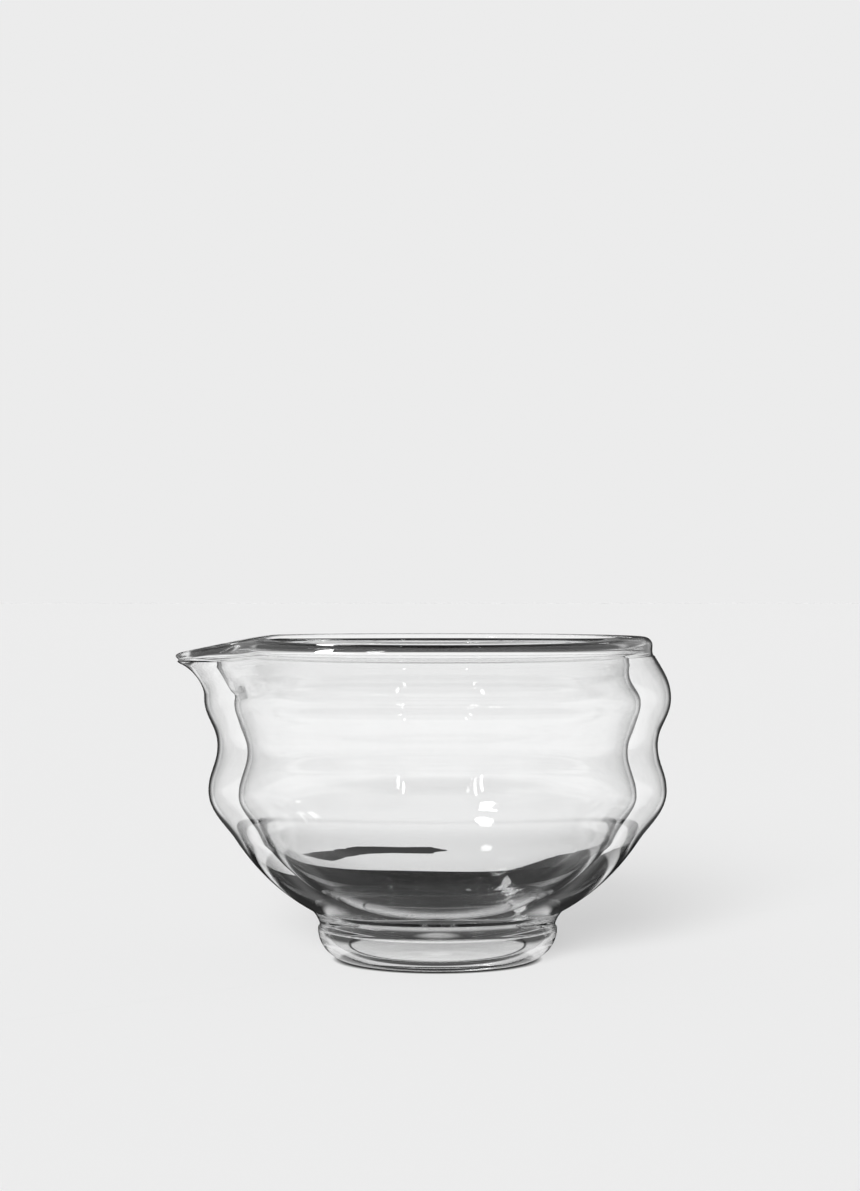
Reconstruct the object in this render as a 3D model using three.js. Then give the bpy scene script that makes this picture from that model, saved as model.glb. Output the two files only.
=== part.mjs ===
// A spouted matcha bowl of clear double-walled glass, in millimetres, +Z up.
// The bowl's axis is the Z axis, it stands on z = 0 and its spout points along -X.
// Two thin shells are fused along a thick lip, and a hollow foot is fused under the outer shell.

import * as THREE from 'three';

// Glass and seams
const wall = 1.2; // thickness of both shells
const seamGap = 0.3; // left at every fused seam

// Heights of the outer shell: the drops go down from the crown, each from the one before
const bowlHeight = 83; // table to the crown of the lip
const lipHeight = 4.7; // crown to the seam under the lip
const shoulderDrop = 10.9; // seam to the upper bulge
const upperBulgeDrop = 12.2; // upper bulge to the waist
const waistDrop = 11.6; // waist to the lower bulge
const lowerBulgeDrop = 12.2; // lower bulge to where the side is straightest
const undersideHeight = 5.9; // table to the lowest point of the shell

// Radii of the outer shell's outside
const flankRadius = 52.1;
const lowerBulgeRadius = 58.9;
const waistRadius = 56.6;
const upperBulgeRadius = 60;
const lipRadius = 55.8;

// Lip
const lipWidth = 6.2; // across both walls at the seam
const lipLean = 1.1; // how far the inside of the lip leans out up to its crown
const lipDraft = 0.5; // how far its outside leans in
const lipCorner = 2.3; // rounding of the crown's two edges

// Inner bowl, set inside the outer shell
const airGap = 6.5; // between the walls at the bulges and the waist
const flankGap = 4.5;
const bottomGap = 2.4;
const innerDrop = 1.5; // its waves lie this much lower
const throatDrop = 3.8; // seam to its narrowest place under the lip
const throatInset = 1.6; // from its radius at the seam to that place

// Spout
const spoutReach = 11.4; // how far the seam at the tip stands out of the round rim
const spoutOverhang = 1.4; // how much further the crown of the lip reaches there
const spoutDepth = 10.3; // seam to where the walls start to swell out
const spoutLipHeight = 2; // the lip is drawn thinner at the tip
const spoutBend = 43; // from the axis to where the rim starts to fall
const spoutBendSoftness = 6; // length over which the fall sets in

// Foot
const footRadius = 30.8;
const footCorner = 8; // rounding from the side to the base
const footNeckInset = 0.5; // how much the neck above the side is drawn in
const footNeckDrop = 4; // neck below the top of the foot's outside
const footFlare = 1.7; // how far the top spreads out past the side
const footWall = 1.3;
const baseThickness = 2;

// Vent of the air space, and the drop of glass that closes it
const ventRadius = 2.5;
const sealOverlap = 1.6; // head of the drop past the vent's edge
const sealHeadHeight = 1.2;
const sealSag = 0.6; // the shank stands this far up into the air space

// Angles and shares
const flankAngle = THREE.MathUtils.degToRad(56.5); // slope of the straightest part of the side
const spoutHalfAngle = THREE.MathUtils.degToRad(33);
const spoutTilt = THREE.MathUtils.degToRad(12.5);
const spoutSharpness = 4; // power of the cosine that rounds the spout in plan
const outerSwell = 1.7; // power of the spout's growth up the outer shell
const innerSwell = 0.8;
const droopSwell = 1.5;
const waveEase = 0.42; // Bezier handles of a wave, as a share of its rise
const shoulderSpread = 0.45; // of the difference in radius, where the shoulder comes in to the lip
const shoulderEase = 0.3;
const flankEase = 0.35;
const bottomEase = 0.65; // of the flank's radius, which sets how flat the bottom is

// Facets
const segments = 48; // round the axis
const spoutCrowding = 0.45; // how much closer the segments lie at the spout
const curveSteps = 4; // along each curve of a section
const bottomSteps = 8; // along the round bottom of a wall
const neckSteps = 2; // from the foot's side to its neck
const cornerSteps = 4; // along each rounded edge

// Heights that several pieces share
const seamHeight = bowlHeight - lipHeight;
const upperBulgeHeight = seamHeight - shoulderDrop;
const waistHeight = upperBulgeHeight - upperBulgeDrop;
const lowerBulgeHeight = waistHeight - waistDrop;
const flankHeight = lowerBulgeHeight - lowerBulgeDrop;
const shellTop = seamHeight - seamGap;
const spoutRoot = seamHeight - spoutDepth;

// Direction down the flank, and the flank's outward normal, both in the (radius, height) plane
const downFlank = new THREE.Vector2(-Math.cos(flankAngle), -Math.sin(flankAngle));
const flankNormal = new THREE.Vector2(Math.sin(flankAngle), -Math.cos(flankAngle));

const clearGlass = { color: 0xe9efee, roughness: 0.03, metalness: 0, transparent: true, opacity: 0.35 };

/** A point of a section: radius and height. */
function at(radius, height) {
  return new THREE.Vector2(radius, height);
}

/** Points along a Bezier curve, without its first point. */
function curved(from, handleFrom, handleTo, to, steps = curveSteps) {
  return new THREE.CubicBezierCurve(from, handleFrom, handleTo, to).getPoints(steps).slice(1);
}

/** Points of a rounded edge, an arc about a centre, with both ends. */
function rounded(centre, radius, fromAngle, toAngle) {
  const clockwise = toAngle < fromAngle;
  return new THREE.EllipseCurve(centre.x, centre.y, radius, radius, fromAngle, toAngle, clockwise)
    .getPoints(cornerSteps);
}

/** A wave of the wall between two heights, upright at both ends. */
function wave(from, to, steps = curveSteps) {
  const handle = at(0, (to.y - from.y) * waveEase);
  return curved(from, from.clone().add(handle), to.clone().sub(handle), to, steps);
}

/** The side and the round bottom of a wall, from the bottom's middle up to the lower bulge. */
function underside(bottom, flank, bulge) {
  const downToBottom = downFlank.clone().multiplyScalar((flank.y - bottom.y) * flankEase);
  const upToBulge = downFlank.clone().multiplyScalar((flank.y - bulge.y) * flankEase);
  const bottomHandle = at(flank.x * bottomEase, bottom.y);
  const bulgeHandle = at(bulge.x, bulge.y - (bulge.y - flank.y) * waveEase);
  return [
    bottom,
    ...curved(bottom, bottomHandle, flank.clone().add(downToBottom), flank, bottomSteps),
    ...curved(flank, flank.clone().add(upToBulge), bulgeHandle, bulge),
  ];
}

/** One face of the outer shell, from its vent up to the lip. The inset is measured from its outside. */
function outerFace(inset) {
  const bottom = at(ventRadius, undersideHeight + inset);
  const flank = at(flankRadius, flankHeight).addScaledVector(flankNormal, -inset);
  const lowerBulge = at(lowerBulgeRadius - inset, lowerBulgeHeight);
  const waist = at(waistRadius - inset, waistHeight);
  const upperBulge = at(upperBulgeRadius - inset, upperBulgeHeight);
  const top = at(lipRadius - inset, shellTop);
  const bulgeHandle = at(upperBulge.x, upperBulge.y + shoulderDrop * waveEase);
  const topHandle = at(
    top.x + (upperBulge.x - top.x) * shoulderSpread,
    top.y - shoulderDrop * shoulderEase,
  );
  return [
    ...underside(bottom, flank, lowerBulge),
    ...wave(lowerBulge, waist),
    ...wave(waist, upperBulge),
    ...curved(upperBulge, bulgeHandle, topHandle, top),
  ];
}

/** One face of the inner bowl, from its middle up to the lip. The inset is measured from its outside. */
function innerFace(inset) {
  const depth = wall + airGap + inset;
  const bottom = at(0, undersideHeight + wall + bottomGap + inset);
  const flank = at(flankRadius, flankHeight).addScaledVector(flankNormal, -(wall + flankGap + inset));
  const lowerBulge = at(lowerBulgeRadius - depth, lowerBulgeHeight - innerDrop);
  const waist = at(waistRadius - depth, waistHeight - innerDrop);
  const upperBulge = at(upperBulgeRadius - depth, upperBulgeHeight - innerDrop);
  const top = at(lipRadius - lipWidth + wall - inset, shellTop);
  const throat = at(top.x - throatInset, shellTop - throatDrop);
  const throatHandle = at(throat.x, throat.y + throatDrop * waveEase);
  const topHandle = at(top.x - throatInset * shoulderSpread, top.y - throatDrop * shoulderEase);
  return [
    ...underside(bottom, flank, lowerBulge),
    ...wave(lowerBulge, waist),
    ...wave(waist, upperBulge),
    ...wave(upperBulge, throat),
    ...curved(throat, throatHandle, topHandle, top),
  ];
}

/** How far the spout stands out at an angle from its middle, from 0 to 1. */
function spoutPlan(angle) {
  const share = Math.min(Math.abs(angle) / spoutHalfAngle, 1);
  return Math.cos((share * Math.PI) / 2) ** spoutSharpness;
}

/** How far the rim falls at a distance out along the spout. */
function spoutFall(distance) {
  const past = Math.max(distance - spoutBend, 0);
  return (Math.tan(spoutTilt) * past ** 2) / (past + spoutBendSoftness);
}

/** A solid turned about the Z axis, with its segments gathered towards the spout. */
function turned(section) {
  const geometry = new THREE.LatheGeometry(section, segments).rotateX(Math.PI / 2);
  const places = geometry.attributes.position;
  for (let i = 0; i < places.count; i += 1) {
    const radius = Math.hypot(places.getX(i), places.getY(i));
    const even = Math.atan2(places.getY(i), -places.getX(i));
    const angle = even - spoutCrowding * Math.sin(even);
    places.setX(i, -radius * Math.cos(angle));
    places.setY(i, radius * Math.sin(angle));
  }
  return geometry;
}

/** Draws the spout out of a turned wall, from its root up to the lip. */
function withSpout(geometry, swell) {
  const places = geometry.attributes.position;
  for (let i = 0; i < places.count; i += 1) {
    const height = places.getZ(i);
    const rise = THREE.MathUtils.clamp((height - spoutRoot) / (shellTop - spoutRoot), 0, 1);
    const angle = Math.atan2(places.getY(i), -places.getX(i));
    const radius = Math.hypot(places.getX(i), places.getY(i));
    const upTheLip = Math.max(height - seamHeight, 0) / lipHeight;
    const pull = spoutReach * rise ** swell + spoutOverhang * upTheLip;
    const reach = radius + pull * spoutPlan(angle);
    const distance = reach * Math.cos(angle);
    const thinning = (lipHeight - spoutLipHeight) * spoutPlan(angle);
    const seamFall = (spoutFall(distance) - thinning) * rise ** droopSwell;
    places.setXYZ(i, -distance, reach * Math.sin(angle), height - seamFall - thinning * upTheLip);
  }
  return geometry;
}

/** A named glass piece. */
function piece(name, geometry) {
  geometry.computeVertexNormals();
  const mesh = new THREE.Mesh(geometry, new THREE.MeshStandardMaterial(clearGlass));
  mesh.name = name;
  return mesh;
}

/** The outside wall, open at the lip and at its vent. */
function outerShell() {
  const section = [...outerFace(0), ...outerFace(wall).reverse()];
  return piece('outer_shell', withSpout(turned([...section, section[0]]), outerSwell));
}

/** The drinking bowl. */
function innerBowl() {
  const section = [...innerFace(0), ...innerFace(wall).reverse()];
  return piece('inner_bowl', withSpout(turned(section), innerSwell));
}

/** The fused lip, which stands on the edges of both walls. */
function rimLip() {
  const inside = lipRadius - lipWidth;
  const crownOutside = lipRadius - lipDraft;
  const crownInside = inside + lipLean;
  const corner = Math.min(lipCorner, (crownOutside - crownInside) / 2);
  const cornerHeight = seamHeight + lipHeight - corner;
  const section = [
    at(lipRadius, seamHeight),
    ...rounded(at(crownOutside - corner, cornerHeight), corner, 0, Math.PI / 2),
    ...rounded(at(crownInside + corner, cornerHeight), corner, Math.PI / 2, Math.PI),
    at(inside, seamHeight),
  ];
  return piece('rim_lip', withSpout(turned([...section, section[0]]), outerSwell));
}

/** Height of the outer shell's underside at a radius. */
function undersideAt(radius) {
  const face = outerFace(0);
  const outer = face.findIndex((point) => point.x >= radius);
  const [a, b] = [face[outer - 1], face[outer]];
  return THREE.MathUtils.mapLinear(radius, a.x, b.x, a.y, b.y);
}

/** The hollow foot, whose top edge follows the underside of the outer shell. */
function hollowFoot() {
  const topOutside = at(footRadius + footFlare, undersideAt(footRadius + footFlare) - seamGap);
  const topRadius = footRadius + footFlare - footWall;
  const topInside = at(topRadius, undersideAt(topRadius) - seamGap);
  const neckHeight = topOutside.y - footNeckDrop;
  const side = at(footRadius, footCorner);
  const neck = at(footRadius - footNeckInset, neckHeight);
  const innerCorner = footCorner - footWall;
  const outerCentre = at(footRadius - footCorner, footCorner);
  const innerCentre = at(footRadius - footWall - innerCorner, baseThickness + innerCorner);
  const neckInside = at(neck.x - footWall, neckHeight);
  const upNeck = at(0, footNeckDrop * waveEase);
  const downFlare = at(-footFlare * waveEase, -footFlare * waveEase);
  const outside = [
    at(0, 0),
    ...rounded(outerCentre, footCorner, -Math.PI / 2, 0),
    ...wave(side, neck, neckSteps),
    ...curved(neck, neck.clone().add(upNeck), topOutside.clone().add(downFlare), topOutside),
  ];
  const inside = [
    at(0, baseThickness),
    ...rounded(innerCentre, innerCorner, -Math.PI / 2, 0),
    neckInside,
    ...curved(neckInside, neckInside.clone().add(upNeck), topInside.clone().add(downFlare), topInside),
  ];
  return piece('foot', turned([...outside, ...inside.reverse()]));
}

/** The drop of glass in the vent: a shank through the shell and a round head under it. */
function ventSeal() {
  const shankRadius = ventRadius - seamGap;
  const headRadius = ventRadius + sealOverlap;
  const headTop = undersideHeight - seamGap;
  const shankTop = undersideHeight + wall + sealSag;
  const head = new THREE.EllipseCurve(0, headTop, headRadius, sealHeadHeight, -Math.PI / 2, 0);
  const section = [...head.getPoints(curveSteps), at(shankRadius, headTop), at(shankRadius, shankTop)];
  return piece('vent_seal', turned([...section, at(0, shankTop)]));
}

const bowl = new THREE.Group();
bowl.add(outerShell(), innerBowl(), rimLip(), hollowFoot(), ventSeal());

export default bowl;
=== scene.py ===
"""Looks of a spouted matcha bowl of clear double-walled glass, in metres, +Z up.

Five turned glass pieces stand for the five solids of the frame. Where two of them are fused, their faces
lie on each other and let light straight through, so that the glass looks like one body.
"""

from __future__ import annotations

import logging
import math
from dataclasses import dataclass, field
from enum import Enum
from typing import Iterable, Mapping, Union

import bpy
from bpy.types import ID, Material, Mesh, Node, NodeSocket, NodeTree, Object
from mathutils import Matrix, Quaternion, Vector


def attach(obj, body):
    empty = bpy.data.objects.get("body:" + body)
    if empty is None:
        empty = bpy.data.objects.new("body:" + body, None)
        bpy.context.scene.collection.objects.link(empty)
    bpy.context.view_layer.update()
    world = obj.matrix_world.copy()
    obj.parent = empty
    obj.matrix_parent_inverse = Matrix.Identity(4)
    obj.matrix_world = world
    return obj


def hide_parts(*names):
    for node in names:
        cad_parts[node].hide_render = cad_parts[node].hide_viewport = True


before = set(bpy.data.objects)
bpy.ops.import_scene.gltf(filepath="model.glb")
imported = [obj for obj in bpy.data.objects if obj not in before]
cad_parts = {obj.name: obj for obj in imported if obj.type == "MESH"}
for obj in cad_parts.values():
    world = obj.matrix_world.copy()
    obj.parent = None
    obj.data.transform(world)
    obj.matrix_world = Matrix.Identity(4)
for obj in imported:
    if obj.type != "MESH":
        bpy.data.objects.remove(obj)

LOG = logging.getLogger("matcha_bowl")

MM = 0.001
DEG = math.radians(1)
FULL_TURN = 2 * math.pi
ROOT_BODY = "root"
FUSED_MARK = "fused"  # attribute that marks the stretches of a section where two pieces are one glass
PHOTO_HEIGHT = 1191  # pixels
EVEN_BLEND = 0.5  # Layer Weight's blend at which Facing is 1 less the cosine of the slant
MIX_SHARE, MIX_START, MIX_END, MIX_RESULT = 0, 6, 7, 2  # a Mix node's sockets for colours

Point = Vector  # a place in a section: radius and height, in millimetres
Span = tuple[float, float]  # where something starts and where it ends
Number = Union["Field", float]
Inputs = Mapping[Union[str, int], object]  # what fills a node's inputs, by their names or places


class Stretch(Enum):
    """What a stretch of a section is."""

    SKIN = False
    FUSED = True


class Field:
    """A number inside a node tree, whose sums and products add Math nodes."""

    def __init__(self, socket: NodeSocket) -> None:
        """Holds the output socket that gives the number."""
        self.socket = socket

    def apply(self, operation: str, *others: Number) -> Field:
        """Adds one Math node.

        Args:
            operation: The Math node's operation.
            others: The operands after this number.

        Returns:
            The node's result.
        """
        operands = dict(enumerate((self, *others)))
        return Field(add(self.socket.id_data, "ShaderNodeMath", operands, operation=operation).outputs[0])

    def __add__(self, other: Number) -> Field:
        """This number plus another."""
        return self.apply("ADD", other)

    def __sub__(self, other: Number) -> Field:
        """This number less another."""
        return self.apply("SUBTRACT", other)

    def __rsub__(self, other: float) -> Field:
        """A plain number less this one."""
        return self.apply("MULTIPLY_ADD", -1.0, other)

    def __mul__(self, other: Number) -> Field:
        """This number times another."""
        return self.apply("MULTIPLY", other)

    def __truediv__(self, other: Number) -> Field:
        """This number over another."""
        return self.apply("DIVIDE", other)

    def __pow__(self, other: Number) -> Field:
        """This number to a power."""
        return self.apply("POWER", other)

    def __abs__(self) -> Field:
        """Its distance from zero."""
        return self.apply("ABSOLUTE")

    def sine(self) -> Field:
        """Its sine."""
        return self.apply("SINE")

    def cosine(self) -> Field:
        """Its cosine."""
        return self.apply("COSINE")

    def at_least(self, other: Number) -> Field:
        """The larger of this number and another."""
        return self.apply("MAXIMUM", other)

    def at_most(self, other: Number) -> Field:
        """The smaller of this number and another."""
        return self.apply("MINIMUM", other)

    def past(self, start: Number) -> Field:
        """How far this number is past a start, or 0 before it."""
        return (self - start).at_least(0.0)

    def between(self, start: Number, end: Number) -> Field:
        """What lies this share of the way from a start to an end."""
        return self * (end - start) + start

    def ramp(self, low: float, high: float) -> Field:
        """A soft step.

        Args:
            low: Where the step starts, with a result of 0.
            high: Where it ends, with a result of 1.

        Returns:
            The height of the step at this number.
        """
        values = {"Value": self, "From Min": low, "From Max": high}
        node = add(self.socket.id_data, "ShaderNodeMapRange", values, interpolation_type="SMOOTHSTEP")
        return Field(node.outputs["Result"])

    def fade(self, low: float, high: float) -> Field:
        """A soft step down, from 1 to 0."""
        return 1.0 - self.ramp(low, high)


def feed(node: Node, values: Inputs) -> Node:
    """Fills inputs of a node.

    Args:
        node: The node.
        values: For each input a field or an output socket to link, or a constant.

    Returns:
        The node itself.
    """
    for key, value in values.items():
        source = value.socket if isinstance(value, Field) else value
        if isinstance(source, NodeSocket):
            node.id_data.links.new(source, node.inputs[key])
        else:
            node.inputs[key].default_value = source
    return node


def add(tree: NodeTree, kind: str, values: Inputs | None = None, **settings: object) -> Node:
    """Adds a node.

    Args:
        tree: The tree that it goes into.
        kind: Its type name.
        values: What fills its inputs.
        settings: Its properties by name.

    Returns:
        The new node.
    """
    node = tree.nodes.new(kind)
    for name, value in settings.items():
        setattr(node, name, value)
    return feed(node, values or {})


def sockets(tree: NodeTree, kind: str, names: Iterable[str], in_out: str = "INPUT") -> dict[str, str]:
    """Adds named sockets of one kind to a node group.

    Args:
        tree: The group.
        kind: The sockets' type.
        names: Their names.
        in_out: Which side they are on.

    Returns:
        Their identifiers by name.
    """
    made = {}
    for name in names:
        made[name] = tree.interface.new_socket(name, in_out=in_out, socket_type=kind).identifier
    return made


def axes_of(vector: NodeSocket) -> list[Field]:
    """The three parts of a vector."""
    split = add(vector.id_data, "ShaderNodeSeparateXYZ", {"Vector": vector})
    return [Field(part) for part in split.outputs]


def slant_in(tree: NodeTree) -> Field:
    """How far a face is turned away from a ray: 0 where it is square to it, 1 where the ray runs along it."""
    return Field(add(tree, "ShaderNodeLayerWeight", {"Blend": EVEN_BLEND}).outputs["Facing"])


def new_material(name: str, values: Inputs) -> Material:
    """Makes a material.

    Args:
        name: Its name.
        values: What fills the inputs of its shader.

    Returns:
        The new material.
    """
    material = bpy.data.materials.new(name)
    material.use_nodes = True
    feed(material.node_tree.nodes["Principled BSDF"], values)
    return material


def show_instead(tree: NodeTree, share: object, other: NodeSocket) -> None:
    """Shows another shader in the place of a material's own.

    Args:
        tree: The material's nodes.
        share: How far the other one shows, from 0 to 1.
        other: The other shader.
    """
    own = tree.nodes["Principled BSDF"].outputs["BSDF"]
    mix = add(tree, "ShaderNodeMixShader", {"Fac": share, 1: own, 2: other})
    feed(tree.nodes["Material Output"], {"Surface": mix.outputs["Shader"]})


def grey(level: float) -> tuple[float, float, float, float]:
    """A grey of a level from 0 to 1, as a colour."""
    return (level, level, level, 1)


def new_object(name: str, data: ID) -> Object:
    """Makes an object and puts it in the scene."""
    made = bpy.data.objects.new(name, data)
    bpy.context.scene.collection.objects.link(made)
    return made


def keep_for_glass(made: Object) -> None:
    """Lets only rays that the glass mirrors or lets through meet an object."""
    made.visible_camera = False
    made.visible_diffuse = False
    made.visible_shadow = False


def at(radius: float, height: float) -> Point:
    """A place in a section, in millimetres."""
    return Vector((radius, height))


@dataclass
class Section:
    """The outline of a turned piece, drawn from point to point."""

    points: list[Point]
    marks: list[Stretch] = field(default_factory=list)

    def along(self, points: Iterable[Point], stretch: Stretch = Stretch.SKIN) -> Section:
        """Goes on through more points.

        Args:
            points: The points, without the one where the section stands.
            stretch: What the way to them is.

        Returns:
            The section itself, so that calls can be chained.
        """
        for point in points:
            self.points.append(point)
            self.marks.append(stretch)
        return self

    def mesh(self, name: str) -> Mesh:
        """Makes a mesh of edges in the XZ plane, in metres, with the fused stretches marked.

        Args:
            name: The mesh's name.

        Returns:
            The new mesh.
        """
        mesh = bpy.data.meshes.new(name)
        places = [(p.x * MM, 0.0, p.y * MM) for p in self.points]
        mesh.from_pydata(places, [(i, i + 1) for i in range(len(places) - 1)], [])
        marks = mesh.attributes.new(FUSED_MARK, "BOOLEAN", "POINT")
        for item, stretch in zip(marks.data, self.marks):
            item.value = stretch.value
        return mesh


def bezier(start: Point, leave: Point, arrive: Point, end: Point, steps: int) -> list[Point]:
    """Points along a cubic Bezier curve.

    Args:
        start: Where the curve starts.
        leave: The handle of its start.
        arrive: The handle of its end.
        end: Where it ends.
        steps: How many points.

    Returns:
        The points, without the first one.
    """
    points = []
    for i in range(1, steps + 1):
        t = i / steps
        s = 1 - t
        points.append(s**3 * start + 3 * s * s * t * leave + 3 * s * t * t * arrive + t**3 * end)
    return points


def arc(centre: Point, radii: Point, start: float, end: float, steps: int) -> list[Point]:
    """Points along an upright ellipse's arc.

    Args:
        centre: The ellipse's centre.
        radii: Its half width and half height.
        start: The angle where the arc starts, in degrees.
        end: The angle where it ends.
        steps: How many steps.

    Returns:
        The points, with both ends.
    """
    angles = [math.radians(start + (end - start) * i / steps) for i in range(steps + 1)]
    return [centre + at(radii.x * math.cos(a), radii.y * math.sin(a)) for a in angles]


def straight(start: Point, end: Point, steps: int) -> list[Point]:
    """Points along a straight stretch, without the first one."""
    return [start.lerp(end, i / steps) for i in range(1, steps + 1)]


def evened(points: list[Point], step: float) -> list[Point]:
    """Places points at equal steps along a line.

    Args:
        points: The line's own points, close together.
        step: About how far apart the new ones are.

    Returns:
        The new points, with both ends of the line.
    """
    lengths = [0.0]
    for before, point in zip(points, points[1:]):
        lengths.append(lengths[-1] + (point - before).length)
    count = max(1, round(lengths[-1] / step))
    placed = [points[0]]
    i = 0
    for k in range(1, count):
        target = lengths[-1] * k / count
        while lengths[i + 1] < target:
            i += 1
        share = (target - lengths[i]) / (lengths[i + 1] - lengths[i])
        placed.append(points[i].lerp(points[i + 1], share))
    return [*placed, points[-1]]


def parallel(face: list[Point], distance: float, end: Point) -> list[Point]:
    """A second face of an evenly thick wall.

    Args:
        face: The first face's points, from the axis outwards.
        distance: How far the second face lies to the left of them, on the axis's side.
        end: Where the second face ends.

    Returns:
        The second face's points, one for each point.
    """
    points = []
    for before, point, after in zip([face[0], *face], face, [*face[1:], face[-1]]):
        along = (after - before).normalized()
        points.append(point + distance * at(-along.y, along.x))
    points[0] = face[0] + at(0, distance)
    points[-1] = end
    return points


def cut_at(face: list[Point], radius: float) -> tuple[list[Point], list[Point]]:
    """Cuts a face where it first reaches a radius.

    Args:
        face: The face's points, from the axis outwards.
        radius: Where to cut.

    Returns:
        The points up to the cut and those from it on, both with the cut itself.
    """
    after = next(i for i, point in enumerate(face) if point.x > radius)
    inner, outer = face[after - 1], face[after]
    cut = inner.lerp(outer, (radius - inner.x) / (outer.x - inner.x))
    return [*face[:after], cut], [cut, *face[after:]]


@dataclass(frozen=True)
class BowlForm:
    """The driving sizes of the bowl, in millimetres, and the faces of its two walls."""

    wall: float = 1.2
    seam_gap: float = 0.3
    bowl_height: float = 83.0
    lip_height: float = 4.7
    shoulder_drop: float = 10.9
    upper_bulge_drop: float = 12.2
    waist_drop: float = 11.6
    lower_bulge_drop: float = 12.2
    underside_height: float = 5.9
    flank_radius: float = 52.1
    lower_bulge_radius: float = 58.9
    waist_radius: float = 56.6
    upper_bulge_radius: float = 60.0
    lip_radius: float = 55.8
    lip_width: float = 6.2
    air_gap: float = 6.5
    flank_gap: float = 4.5
    bottom_gap: float = 3.1
    inner_drop: float = 1.5
    throat_drop: float = 3.8
    throat_inset: float = 1.6
    vent_radius: float = 2.5
    flank_angle: float = 56.5 * DEG
    wave_ease: float = 0.42
    shoulder_spread: float = 0.45
    shoulder_ease: float = 0.3
    flank_ease: float = 0.35
    flank_slide: float = 3.0
    bottom_ease: float = 0.65
    curve_steps: int = 400
    face_step: float = 0.85

    @property
    def seam_height(self) -> float:
        """Height of the underside of the lip."""
        return self.bowl_height - self.lip_height

    @property
    def joint_height(self) -> float:
        """Height where the walls run into the lip, in the middle of the seam."""
        return self.seam_height - self.seam_gap / 2

    @property
    def shell_top(self) -> float:
        """Height of the frame's wall edges, where the spout is drawn out fully."""
        return self.seam_height - self.seam_gap

    @property
    def upper_bulge_height(self) -> float:
        """Height of the upper bulge."""
        return self.seam_height - self.shoulder_drop

    @property
    def waist_height(self) -> float:
        """Height of the waist."""
        return self.upper_bulge_height - self.upper_bulge_drop

    @property
    def lower_bulge_height(self) -> float:
        """Height of the lower bulge."""
        return self.waist_height - self.waist_drop

    @property
    def flank(self) -> Point:
        """Where the side is straightest, on the outside."""
        return at(self.flank_radius, self.lower_bulge_height - self.lower_bulge_drop)

    @property
    def flank_way(self) -> Point:
        """The direction up along the flank."""
        return at(math.cos(self.flank_angle), math.sin(self.flank_angle))

    def waves(self, inset: float, drop: float) -> tuple[Point, Point, Point]:
        """The lower bulge, the waist and the upper bulge of a wall.

        Args:
            inset: How far the wall lies inside the outer one.
            drop: How far its waves lie below the outer ones.

        Returns:
            The three points.
        """
        lower = at(self.lower_bulge_radius - inset, self.lower_bulge_height - drop)
        waist = at(self.waist_radius - inset, self.waist_height - drop)
        upper = at(self.upper_bulge_radius - inset, self.upper_bulge_height - drop)
        return lower, waist, upper

    def wave(self, start: Point, end: Point) -> list[Point]:
        """A wave of a wall between two heights, upright at both ends, without its first point."""
        handle = at(0, (end.y - start.y) * self.wave_ease)
        return bezier(start, start + handle, end - handle, end, self.curve_steps)

    def underside(self, bottom: Point, flank: Point, bulge: Point) -> list[Point]:
        """The round bottom and the side of a wall.

        Args:
            bottom: The bottom's innermost point.
            flank: Where the side is straightest.
            bulge: The lower bulge.

        Returns:
            The points from the bottom up to the bulge.
        """
        to_bottom = flank - self.flank_way * (flank.y - bottom.y) * self.flank_ease
        to_bulge = flank + self.flank_way * (bulge.y - flank.y) * self.flank_ease
        bulge_handle = bulge - at(0, (bulge.y - flank.y) * self.wave_ease)
        flat = at(flank.x * self.bottom_ease, bottom.y)
        return [
            bottom,
            *bezier(bottom, flat, to_bottom, flank, self.curve_steps),
            *bezier(flank, to_bulge, bulge_handle, bulge, self.curve_steps),
        ]

    def inset_flank(self, inset: float) -> Point:
        """The flank moved inwards, square to the side, and a little down along it."""
        along = self.flank_way
        return self.flank - inset * at(along.y, -along.x) - self.flank_slide * along

    def outer_face(self) -> list[Point]:
        """The outer wall's outside, from the vent up to the lip.

        Returns:
            Its points.
        """
        lower, waist, upper = self.waves(0, 0)
        top = at(self.lip_radius, self.joint_height)
        leave = upper + at(0, self.shoulder_drop * self.wave_ease)
        spread = (upper.x - top.x) * self.shoulder_spread
        arrive = top + at(spread, -self.shoulder_drop * self.shoulder_ease)
        bottom = at(self.vent_radius, self.underside_height)
        line = [
            *self.underside(bottom, self.flank, lower),
            *self.wave(lower, waist),
            *self.wave(waist, upper),
            *bezier(upper, leave, arrive, top, self.curve_steps),
        ]
        return evened(line, self.face_step)

    def inner_face(self) -> list[Point]:
        """The inner wall's outside, from the axis up to the lip.

        Returns:
            Its points.
        """
        lower, waist, upper = self.waves(self.wall + self.air_gap, self.inner_drop)
        top = at(self.lip_radius - self.lip_width + self.wall, self.joint_height)
        throat = at(top.x - self.throat_inset, self.shell_top - self.throat_drop)
        leave = throat + at(0, self.throat_drop * self.wave_ease)
        spread = self.throat_inset * self.shoulder_spread
        arrive = top - at(spread, self.throat_drop * self.shoulder_ease)
        bottom = at(0, self.underside_height + self.wall + self.bottom_gap)
        flank = self.inset_flank(self.wall + self.flank_gap)
        line = [
            *self.underside(bottom, flank, lower),
            *self.wave(lower, waist),
            *self.wave(waist, upper),
            *self.wave(upper, throat),
            *bezier(throat, leave, arrive, top, self.curve_steps),
        ]
        return evened(line, self.face_step)


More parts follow.
